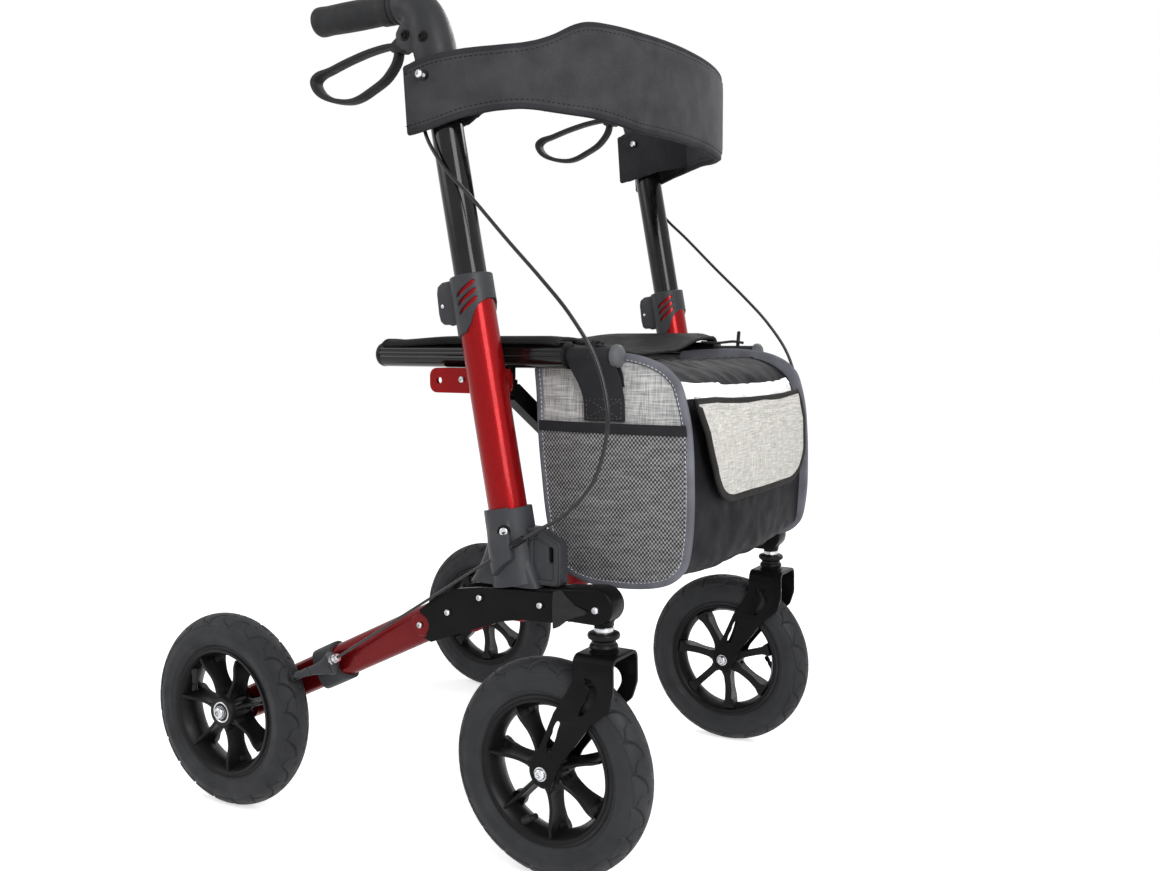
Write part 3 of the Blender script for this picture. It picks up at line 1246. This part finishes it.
def backrest():
    """The band in three lengths: its ends keep to the handles, and its bow is drawn in by the fold."""
    rows = band_line()
    first = next(i for i, row in enumerate(rows) if row[0][0] > BAND_JOIN_X)
    last = len(rows) - 1 - first
    middle = band_skins(rows[first:last + 1])
    bow = middle.make("backrest_padded", "right_handle", None, 50, ["backrest"], "band_fabric")
    draw_in(bow)
    near = band_end(rows[:first + 1], -1).make("backrest_end_r", "right_handle", None, 50, [], "band_fabric")
    far = band_end(rows[last:], 1).make("backrest_end_l", "left_handle", None, 50, [], "band_fabric")


# Seat

RAIL_GROOVES = (187.0, 158.0)
GROOVE_DEPTH, GROOVE_HALF = 1.5, 0.07
ROD_R = 6.0
POST_Z = (566.0, 584.0)
RAIL_IN = SIDE_Y - RAIL_Y


def rails():
    t = np.linspace(0, 2 * math.pi, 72, endpoint=False)
    grooves = np.radians([*RAIL_GROOVES, *(180 - at for at in RAIL_GROOVES)])
    turns = [(t - at + math.pi) % (2 * math.pi) - math.pi for at in grooves]
    dents = sum(GROOVE_DEPTH * np.exp(-((turn / GROOVE_HALF) ** 2)) for turn in turns)
    ring = np.stack([(RAIL_R - dents) * np.cos(t), (RAIL_R - dents) * np.sin(t)], 1)
    length = loft([[(x, RAIL_IN + a, RAIL_Z + b) for a, b in ring] for x in (RAIL_BACK, RAIL_FRONT)])
    back, front = (RAIL_BACK, RAIL_IN, RAIL_Z), (RAIL_FRONT, RAIL_IN, RAIL_Z)
    cap = [(14.4, 0), (15.2, 0.6), (15.2, 3), (14, 6), (10.6, 9), (5, 10.4)]
    collar = [(14.4, 0), (15.4, 0.6), (15.4, 3.6), (13, 4.4), (6, 4.4)]
    knob = [(6, 59), (9, 59.4), (12.4, 61.6), (13.4, 65), (12.6, 68.6), (9.6, 71.4), (4, 72.6)]
    section = superellipse(7.4, 6.9, 6, 24)
    for side, body, post_x in (("r", "cross_b", 150.0), ("l", "cross_a", 170.0)):
        piece = Piece().add(length, "black_gloss")
        piece.turn(cap, back, -AHEAD, 40, "black_plastic")
        piece.turn(collar, front, AHEAD, 40, "black_plastic")
        piece.turn([(ROD_R, 4), (ROD_R, 60)], front, AHEAD, 24, "black_metal")
        piece.turn(knob, front, AHEAD, 40, "knob_plastic")
        post = [np.array([post_x, RAIL_IN, z]) for z in POST_Z]
        piece.add(loft([[p + a * AHEAD + b * OUT for a, b in section] for p in post]), "black_metal")
        piece.make(f"seat_rail_dressed_{side}", body, side, 38, [f"seat_rail_{side}"], "black_metal")


SEAT_BACK, SEAT_FRONT = -30.0, 226.0
SEAT_T, SEAT_SAG = 3.0, 12.0
SEAT_LIFT = {-1: 4.5, 1: 10.0}
SEAT_HOLD = 142.0


def seat_line(sag):
    """The seat's line across the rails, from the groove of one rail over to that of the other."""
    reach = RAIL_R + 2.0
    turns = np.radians(np.linspace(SEAT_HOLD, 92, 9))
    wrap = [(-RAIL_Y + reach * math.cos(a), RAIL_Z + reach * math.sin(a)) for a in turns]
    s = np.linspace(-1, 1, 41)[1:-1]
    across = [(RAIL_Y * v, RAIL_Z + reach - sag * (1 - v * v) ** 2) for v in s]
    return np.array(wrap + across + [(-y, z) for y, z in wrap[::-1]])


def seat():
    grid = []
    for share in np.linspace(0, 1, 34):
        x = SEAT_BACK + (SEAT_FRONT - SEAT_BACK) * share
        edge = ease((share - 0.8) / 0.2) + 0.5 * ease((0.12 - share) / 0.12)
        row = []
        for y, z in seat_line(SEAT_SAG + 5 * edge):
            flat = max(0.0, 1 - (y / RAIL_Y) ** 2)
            ripple = 1.6 * wrinkle(x * 0.018, y * 0.02, 3.0) + 0.8 * math.sin(y * 0.05) * edge
            by_rail = ease((abs(y) - 70) / 110) * ease((z - RAIL_Z) / RAIL_R)
            lift = SEAT_LIFT[1 if y > 0 else -1] * (by_rail * ease((x + 24) / 100) * ease((244 - x) / 40))
            row.append((x + 3.0 * edge * math.sin(y * 0.021 + 0.6) * flat, y, z + flat * ripple + lift))
        grid.append(row)
    grid = np.array(grid)
    piece = Piece().add(cloth(grid, SEAT_T), "seat_fabric")
    for hem in (grid[0], grid[-1]):
        piece.add(tube(hem[1:-1] + UP * 0.4, 2.6, 10), "dark_binding")
    made = piece.make("seat_sling", "sling", None, 50, ["seat_cloth"], "seat_fabric")
    draw_in(made)
    width = np.linalg.norm(np.diff(seat_line(SEAT_SAG), axis=0), axis=1).sum() * 0.001
    flat = (width, (SEAT_FRONT - SEAT_BACK) * 0.001)


def loop_cords(piece, side):
    """The elastic loop at a front corner of the seat, hooked over the rail's rod."""
    rod = np.array([264.0, side * RAIL_Y, RAIL_Z])
    t = np.linspace(0, 2 * math.pi, 25)[:-1]
    ring = [rod + np.array([2.6 * math.sin(a), 8.6 * math.cos(a), 9.4 * math.sin(a)]) for a in t]
    piece.add(tube(ring, 2.0, 10, loop=True), "black_webbing")
    end = [rod + np.array((2 + 0.08 * z, 0, z)) for z in np.linspace(8, 18 if side < 0 else 31, 4)]
    piece.add(tube(curve(end, 4), [2.6] * 12 + [1.6], 12), "black_webbing")
    tail = curve([(222, side * (RAIL_Y - 30), RAIL_Z + 15), (246, side * (RAIL_Y - 26), RAIL_Z + 14),
                  (266, side * (RAIL_Y - 16), RAIL_Z + 16), (277, side * (RAIL_Y - 4), RAIL_Z + 14)], 6)
    piece.add(tube(tail, 2.0, 10), "black_webbing")


# Bag

PANEL_Y = 200.0
PANEL = [(181, 592), (183, 550), (185, 504), (190, 455), (196, 407), (205, 370), (221, 344), (248, 332),
         (285, 329), (325, 331), (355, 338), (372, 350), (381, 366), (386, 400), (387, 433), (386, 480),
         (382, 523), (372, 561), (362, 575), (349, 585), (330, 593), (306, 598), (270, 601), (230, 600),
         (197, 598)]
PANEL_MID, PANEL_HALF = (285.0, 450.0), (105.0, 150.0)
FAR_DRAW = 0.035
POCKET_TOP = 513.0
PIPING = 5.2


def panel_edge(side):
    """A side panel's outline; the far panel is drawn in a little at its front."""
    edge = curve(PANEL, 5, loop=True)
    if side < 0:
        edge[:, 0] -= (edge[:, 0] - PANEL[0][0]) * FAR_DRAW
    return edge


def panel_width(edge, z):
    """The panel's back and front edge at a height."""
    first, last = sorted((edge[:, 1].argmin(), edge[:, 1].argmax()))
    xs = []
    for run in (edge[first:last + 1], np.vstack([edge[last:], edge[:first + 1]])):
        run = run[np.argsort(run[:, 1])]
        xs.append(np.interp(z, run[:, 1], run[:, 0]))
    return min(xs), max(xs)


def panel_bulge(x, z):
    """How far a side panel stands out at a place on it."""
    u, w = (x - PANEL_MID[0]) / PANEL_HALF[0], (z - PANEL_MID[1]) / PANEL_HALF[1]
    soft = wrinkle(x * 0.02, z * 0.02, 1.5)
    return 5.0 * max(0.0, 1 - u * u) * max(0.0, 1 - w * w) + 0.9 * soft


def panel_grid(edge, low, high, lift, inset, rows=34, columns=30, slack=0.0):
    """A grid over the part of a panel between two heights."""
    grid = []
    for z in np.linspace(low, high, rows):
        back, front = panel_width(edge, z)
        row = []
        for s in np.linspace(0, 1, columns):
            x = back + inset + (front - back - 2 * inset) * s
            loose = slack * math.sin(math.pi * s) * ease((z - 340) / 175) ** 2
            row.append((x, -PANEL_Y - lift - panel_bulge(x, z) - loose, z))
        grid.append(row)
    return np.array(grid)


def stitches(piece, path, lift, look, length=3.2, gap=2.2, radius=0.45):
    """A row of sewn stitches that lie along a path."""
    path = np.asarray(path, float)
    run = np.concatenate([[0], np.cumsum(np.linalg.norm(np.diff(path, axis=0), axis=1))])
    for start in np.arange(0, run[-1] - length, length + gap):
        spots = np.linspace(start, start + length, 3)
        line = np.stack([np.interp(spots, run, path[:, k]) for k in range(3)], 1)
        line[1] += lift
        piece.add(tube(line, [radius * 0.6, radius, radius * 0.6], 5), look)


def piping_skins(piece, edge):
    """The bound edge of a panel with a row of stitches on it."""
    rings, inner, seam = [], [], []
    for (x, z), way in zip(edge, ways(edge, True)):
        inward = np.array([-way[1], 0, way[0]])
        if inward @ np.array([PANEL_MID[0] - x, 0, PANEL_MID[1] - z]) < 0:
            inward = -inward
        at = np.array([x, -PANEL_Y - 0.6 - panel_bulge(x, z), z]) + inward * PIPING
        rings.append([at + inward * a + OUT * b for a, b in superellipse(PIPING, 3.3, 3, 14)])
        inner.append([at + inward * (a + 2.6) + OUT * (b - 3.6) for a, b in superellipse(7.6, 0.9, 3, 14)])
        seam.append(at + inward * 2.4 + OUT * 3.1)
    piece.add(loft(rings, loop=True), "piping")
    piece.add(loft(inner, loop=True), "piping")
    stitches(piece, seam + seam[:1], OUT * 0.5, "grey_thread", 3.0, 2.4, 0.6)


def panel_skins(side):
    """A side panel with its mesh pocket, the band on the pocket and piping."""
    piece = Piece()
    edge = panel_edge(side)
    piece.add(cloth(panel_grid(edge, 331, 599, 0, 1.5, 44), 3.0), "grey_melange")
    piece.add(cloth(panel_grid(edge, 334, 596, -2.4, 3, 44), 1.0), "black_nylon")
    piece.add(cloth(panel_grid(edge, 333, POCKET_TOP, 2.6, 4, 34, 30, 4.0), 1.2), "mesh_pocket")
    band = panel_grid(edge, POCKET_TOP - 6, POCKET_TOP + 6, 3.6, 4, 4, 30, 4.0)
    piece.add(cloth(band, 1.8), "black_webbing")
    piping_skins(piece, edge)
    return piece


STRAP_W, STRAP_TOP_W, STRAP_T = 52.0, 62.0, 2.6
STRAP_TOP_X, STRAP_LOW_X = 266.5, 278.5


def strap_skins(piece):
    """Webbing that hangs over the rail's rod, with its end sewn to the panel."""
    turns = np.radians(np.linspace(250, -30, 16))
    around = [(RAIL_Y + 8.6 * math.cos(a), RAIL_Z + 8.6 * math.sin(a)) for a in turns]
    inner = [(PANEL_Y + 4.6, 560), (PANEL_Y + 4.8, 572)]
    outer = [(PANEL_Y + off, z) for off, z in ((18, 582), (13, 570), (10, 556), (8.8, 540), (8.2, 521))]
    grid = []
    for y, z in curve(np.vstack([inner, around, outer]), 2):
        drop = ease((600 - z) / 62)
        middle = STRAP_TOP_X + (STRAP_LOW_X - STRAP_TOP_X) * drop
        wide = STRAP_TOP_W + (STRAP_W - STRAP_TOP_W) * drop
        row = []
        for s in np.linspace(-1, 1, 13):
            soft = 0.7 * wrinkle(s * 1.7, z * 0.05, y * 0.05)
            row.append((middle + wide / 2 * s, -y - soft, z))
        grid.append(row)
    piece.add(cloth(grid, STRAP_T), "black_webbing")
    x0, x1, z0, z1, y = 256.0, 301.0, 524.0, 546.0, -PANEL_Y - 10.2
    corners = [(x0, y, z0), (x1, y, z0), (x1, y, z1), (x0, y, z1)]
    for a, b in [(0, 1), (1, 2), (2, 3), (3, 0), (0, 2), (1, 3)]:
        stitches(piece, np.linspace(corners[a], corners[b], 6), OUT * 0.5, "dark_thread")


BODY = [(189, 584), (190, 545), (192, 500), (197, 450), (203, 405), (211, 374), (226, 353), (250, 342),
        (285, 339), (325, 340), (350, 345), (364, 352), (371, 364), (374, 402), (375, 433), (374, 480),
        (370, 518), (359, 551), (341, 571), (320, 582), (300, 587)]
BODY_Y = 197.0
BODY_BELLY, BODY_SAG = 7.0, 5.0
LONG_CREASE, FINE_CREASE, SHARP_CREASE, TOP_CREASE = 2.4, 1.6, 2.2, 2.6
BODY_LINE = curve(BODY, 4)
BODY_OUT = np.stack([ways(BODY_LINE)[:, 1], -ways(BODY_LINE)[:, 0]], 1)


def drawn(x, y):
    """A place along X, drawn in a little towards the far panel."""
    return x - (x - PANEL[0][0]) * FAR_DRAW * (y / BODY_Y + 1) / 2


def body_point(i, y, off=0.0):
    """A point of the bag's black body: bulged between the panels, drawn in to the far one, and creased."""
    (x, z), out = BODY_LINE[i], BODY_OUT[i]
    slack = 1 - (y / BODY_Y) ** 2
    front = ease((x - 320) / 45)
    long = wrinkle(y * 0.014 + z * 0.02, z * 0.008, 2.0)
    fine = wrinkle(y * 0.035 - z * 0.03, y * 0.012 + z * 0.03, 9.0)
    sharp = 1 - abs(wrinkle(y * 0.02 + z * 0.027, z * 0.012 - y * 0.012, 5.0)) * 2
    creases = LONG_CREASE * long + FINE_CREASE * fine + SHARP_CREASE * sharp
    puff = front * (BODY_BELLY * slack + slack**0.5 * creases)
    top = TOP_CREASE * wrinkle(y * 0.045 + z * 0.05, z * 0.05, 4.0)
    puff += ease((z - 540) / 24) * slack**0.5 * top
    under = ease((352 - z) / 14) * slack * BODY_SAG
    x, z = np.array([x, z]) + out * (puff + under + off)
    return drawn(x, y), y, z


def bag():
    body = Piece()
    rows = np.linspace(-BODY_Y, BODY_Y, 91)
    grid = np.array([[body_point(i, y) for i in range(len(BODY_LINE))] for y in rows])
    body.add(cloth(grid, 2.0), "black_nylon")
    for edge in (grid[:, 0], grid[:, -1]):
        body.add(tube(edge, 2.4, 8), "dark_binding")
    body.add(cloth(tape_grid(), 0.8), "white_tape")
    for side in (1, -1):
        body.take(panel_skins(side), side)
    made = body.make("bag_sewn", "sling", None, 50, ["bag"], "black_fabric")
    draw_in(made)
    straps()


def straps():
    """The two straps with their elastic loops: the fold takes the far one in with its rail."""
    hung = Piece()
    strap_skins(hung)
    for side, flip in (("r", 1.0), ("l", -1.0)):
        piece = Piece()
        piece.take(hung, flip)
        loop_cords(piece, -flip)
        made = piece.make(f"bag_strap_{side}", "sling", None, 50, [], "black_fabric")
        if side == "l":
            draw_in(made)


TAPE_NEAR, TAPE_FAR = -184.0, 184.0
FAR_DROP = 6.0
TAPE_HIGH, TAPE_SAG, TAPE_W = 567.0, 9.0, 19.0


def tape_grid():
    """The bright tape across the top of the bag's front, which sags and waves with the cloth."""
    front = len(BODY_LINE) // 2
    heights = BODY_LINE[front:, 1]
    ys = np.linspace(TAPE_NEAR, TAPE_FAR, 80)
    grid = []
    for u in np.linspace(0, 1, 7):
        row = []
        for y in ys:
            wave = 2.2 * wrinkle(y * 0.03, 0.0, 7.0)
            sag = TAPE_SAG * (1 - (y / TAPE_NEAR) ** 2)
            z = TAPE_HIGH - sag + wave - TAPE_W * u - FAR_DROP * ease(y / TAPE_FAR)
            i = front + int(abs(heights - z).argmin())
            low, high = sorted((i, min(i + 1, len(BODY_LINE) - 1)))
            a, b = np.array(body_point(low, y, 2.2)), np.array(body_point(high, y, 2.2))
            t = np.clip((z - a[2]) / (b[2] - a[2] + 1e-6), -1, 1)
            row.append(a + (b - a) * t)
        grid.append(row)
    return grid


FLAP_TOP, FLAP_LOW = 551.0, 424.0
FLAP_EDGE = [(-187, FLAP_TOP), (176, FLAP_TOP), (158, FLAP_LOW), (-148, FLAP_LOW)]
FLAP_CORNERS = [4, 4, 62, 92]
FLAP_PROFILE = [(424, 390), (445, 393), (468, 394.5), (510, 391), (535, 384.5), (552, 379)]
FLAP_SAG = 11.0


def flap_point(y, z):
    """A place on the hanging flap: it bellies out, waves a little and sags in the middle of its top."""
    heights, depths = np.array(FLAP_PROFILE).T
    share = (z - FLAP_LOW) / (FLAP_TOP - FLAP_LOW)
    wave = 1.2 * math.sin(y * 0.024 + 0.7) * (1 - share) + 1.2 * wrinkle(y * 0.012, z * 0.014, 3.0)
    sag = FLAP_SAG * share * (1 - (y / FLAP_EDGE[0][0]) ** 2) + FAR_DROP * share * ease(y / TAPE_FAR)
    return np.array([drawn(np.interp(z, heights, depths) + wave, y), y, z - sag])


def flap():
    piece = Piece()
    edge = rounded(FLAP_EDGE, FLAP_CORNERS, 14)
    rows = []
    for z in np.linspace(FLAP_LOW + 0.5, FLAP_TOP - 0.5, 34):
        ys = []
        for a, b in zip(edge, np.roll(edge, -1, 0)):
            if (a[1] - z) * (b[1] - z) < 0:
                ys.append(a[0] + (b[0] - a[0]) * (z - a[1]) / (b[1] - a[1]))
        rows.append([flap_point(y, z) for y in np.linspace(min(ys), max(ys), 56)])
    piece.add(cloth(rows, 2.2), "pale_melange")
    fine = np.vstack([np.linspace(a, b, 6, endpoint=False) for a, b in zip(edge, np.roll(edge, -1, 0))])
    fine = fine[np.linalg.norm(fine - np.roll(fine, 1, 0), axis=1) > 0.2]
    rings = []
    for (y, z), way in zip(fine, ways(fine, True)):
        inward = np.array([0, -way[1], way[0]])
        if inward @ np.array([0, -y, (FLAP_TOP + FLAP_LOW) / 2 - z]) < 0:
            inward = -inward
        at = flap_point(y, z)
        rings.append([at + inward * (a + 2.4) + AHEAD * b for a, b in superellipse(5.0, 2.6, 3, 14)])
    piece.add(loft(rings, loop=True), "dark_binding")
    made = piece.make("bag_flap_sewn", "flap", None, 50, ["bag_flap"], "grey_fabric")
    draw_in(made)
    y, z = edge.T


# Materials of the solids that show as they are

KEPT = {
    "upright_tube": "red_paint", "seat_saddle": "red_paint", "fold_bracket": "red_paint",
    "rear_leg": "red_leg", "hub_plates": "black_metal", "cross_bar": "black_metal",
    "handle_tube": "black_gloss",
}
EASED = {"hub_plates": 1.2, "seat_saddle": 1.2, "fold_bracket": 1.0, "cross_bar": 1.5}


def paint_solids():
    for name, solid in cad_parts.items():
        for part, look in KEPT.items():
            if name.startswith(part):
                solid.data.materials.clear()
                solid.data.materials.append(LOOKS[look])
                if part in EASED:
                    solid.modifiers.new("weld", "WELD").merge_threshold = 1e-5
                    bevel = solid.modifiers.new("eased", "BEVEL")
                    bevel.width = EASED[part] * 0.001
                    bevel.segments = 2
                    bevel.limit_method = "ANGLE"
                    bevel.angle_limit = math.radians(40)


# Stage


def lamp(name, at, aim, size, power):
    light = bpy.data.lights.new(name, "AREA")
    light.shape = "RECTANGLE"
    light.size, light.size_y = size
    light.energy = power
    made = linked(name, light)
    made.location = at
    made.rotation_euler = (Vector(aim) - Vector(at)).to_track_quat("-Z", "Y").to_euler()


FLOOR_HALF = 14.0
FLOOR_GLOW = 0.6
AMBIENT = 0.5


def seen_rays(tree):
    """One for rays that see the background: those of the camera, of metal and of glass."""
    rays = add_node(tree, "ShaderNodeLightPath").outputs
    level = rays["Is Camera Ray"]
    for ray in ("Is Glossy Ray", "Is Transmission Ray"):
        either = add_node(tree, "ShaderNodeMath", {0: level, 1: rays[ray]}, operation="MAXIMUM")
        level = either.outputs[0]
    return level


def studio():
    world = bpy.data.worlds.new("studio")
    bpy.context.scene.world = world
    world.use_nodes = True
    tree = world.node_tree
    back = tree.nodes["Background"]
    back.inputs["Color"].default_value = (1, 1, 1, 1)
    inputs = {"Value": seen_rays(tree), "To Min": AMBIENT, "To Max": 1.0}
    level = add_node(tree, "ShaderNodeMapRange", inputs)
    tree.links.new(level.outputs["Result"], back.inputs["Strength"])
    lamp("key", (1.75, -1.2, 1.5), (0, 0, 0.55), (0.9, 1.7), 37)
    lamp("side", (-1.5, -1.5, 1.5), (0, 0, 0.5), (1.2, 1.2), 9)
    lamp("back", (0.2, 1.8, 1.9), (0, 0, 0.6), (1.6, 0.7), 16)


def floor():
    mesh = bpy.data.meshes.new("floor")
    corners = [(x * FLOOR_HALF, y * FLOOR_HALF, 0) for x, y in ((-1, -1), (1, -1), (1, 1), (-1, 1))]
    mesh.from_pydata(corners, [], [(0, 1, 2, 3)])
    pale = Look("pale_floor", (0.9, 0.9, 0.9), 0.9, specular_ior_level=0.0, emission_color=(1, 1, 1, 1))
    pale.feed("Emission Strength", pale.maths("MULTIPLY", seen_rays(pale.tree), FLOOR_GLOW))
    mesh.materials.append(pale.material)
    linked("floor", mesh)


SENSOR = 36.0
CAMERA_AT = (0.8849, -1.3123, 0.6126)
CAMERA_YAW, CAMERA_PITCH = 0.5148, 0.0695
PHOTO_W, PHOTO_H = 1160.0, 871.0
FOCAL_PX = 1114.53
CENTRE_PX = (598.63, 417.99)


def camera():
    lens = bpy.data.cameras.new("camera")
    lens.sensor_width = SENSOR
    lens.lens = FOCAL_PX / PHOTO_W * SENSOR
    lens.shift_x = (PHOTO_W / 2 - CENTRE_PX[0]) / PHOTO_W
    lens.shift_y = (CENTRE_PX[1] - PHOTO_H / 2) / PHOTO_W
    made = linked("camera", lens)
    made.location = CAMERA_AT
    made.rotation_euler = (math.pi / 2 - CAMERA_PITCH, 0, CAMERA_YAW)
    bpy.context.scene.camera = made


def build():
    camera()
    studio()
    floor()
    paint_solids()
    wheels()
    dress("rear_axle", "frame", "steel", rear_axle_skins)
    dress("caster_fork", "caster", "black_metal", fork_skins)
    dress("caster_steel", "caster", "steel", caster_steel_skins)
    dress("hub_nose", "frame", "grey_plastic", nose_skins, 12)
    dress("front_arm", "frame", "black_metal", arm_skins)
    dress("frame_bolts", "frame", "steel", frame_bolt_skins)
    dress("upright_socket", "frame", "grey_plastic", socket_skins)
    dress("height_clamp", "frame", "grey_plastic", clamp_skins)
    dress("height_lock", "height_lock", "black_plastic", lock_skins)
    dress("brake_collar", "frame", "grey_plastic", collar_skins, 30)
    dress("brake_shoe", "brake_shoe", "black_plastic", shoe_skins)
    cables()
    dress("handle_head", "handle", "grey_plastic", head_skins)
    dress("hand_grip", "handle", "grip_rubber", grip_skins)
    dress("brake_lever", "brake_lever", "black_plastic", loop_skins)
    dress("handle_bolts", "handle", "steel", handle_bolt_skins)
    backrest()
    rails()
    seat()
    bag()
    flap()
    bpy.context.scene.view_settings.view_transform = "Standard"


build()
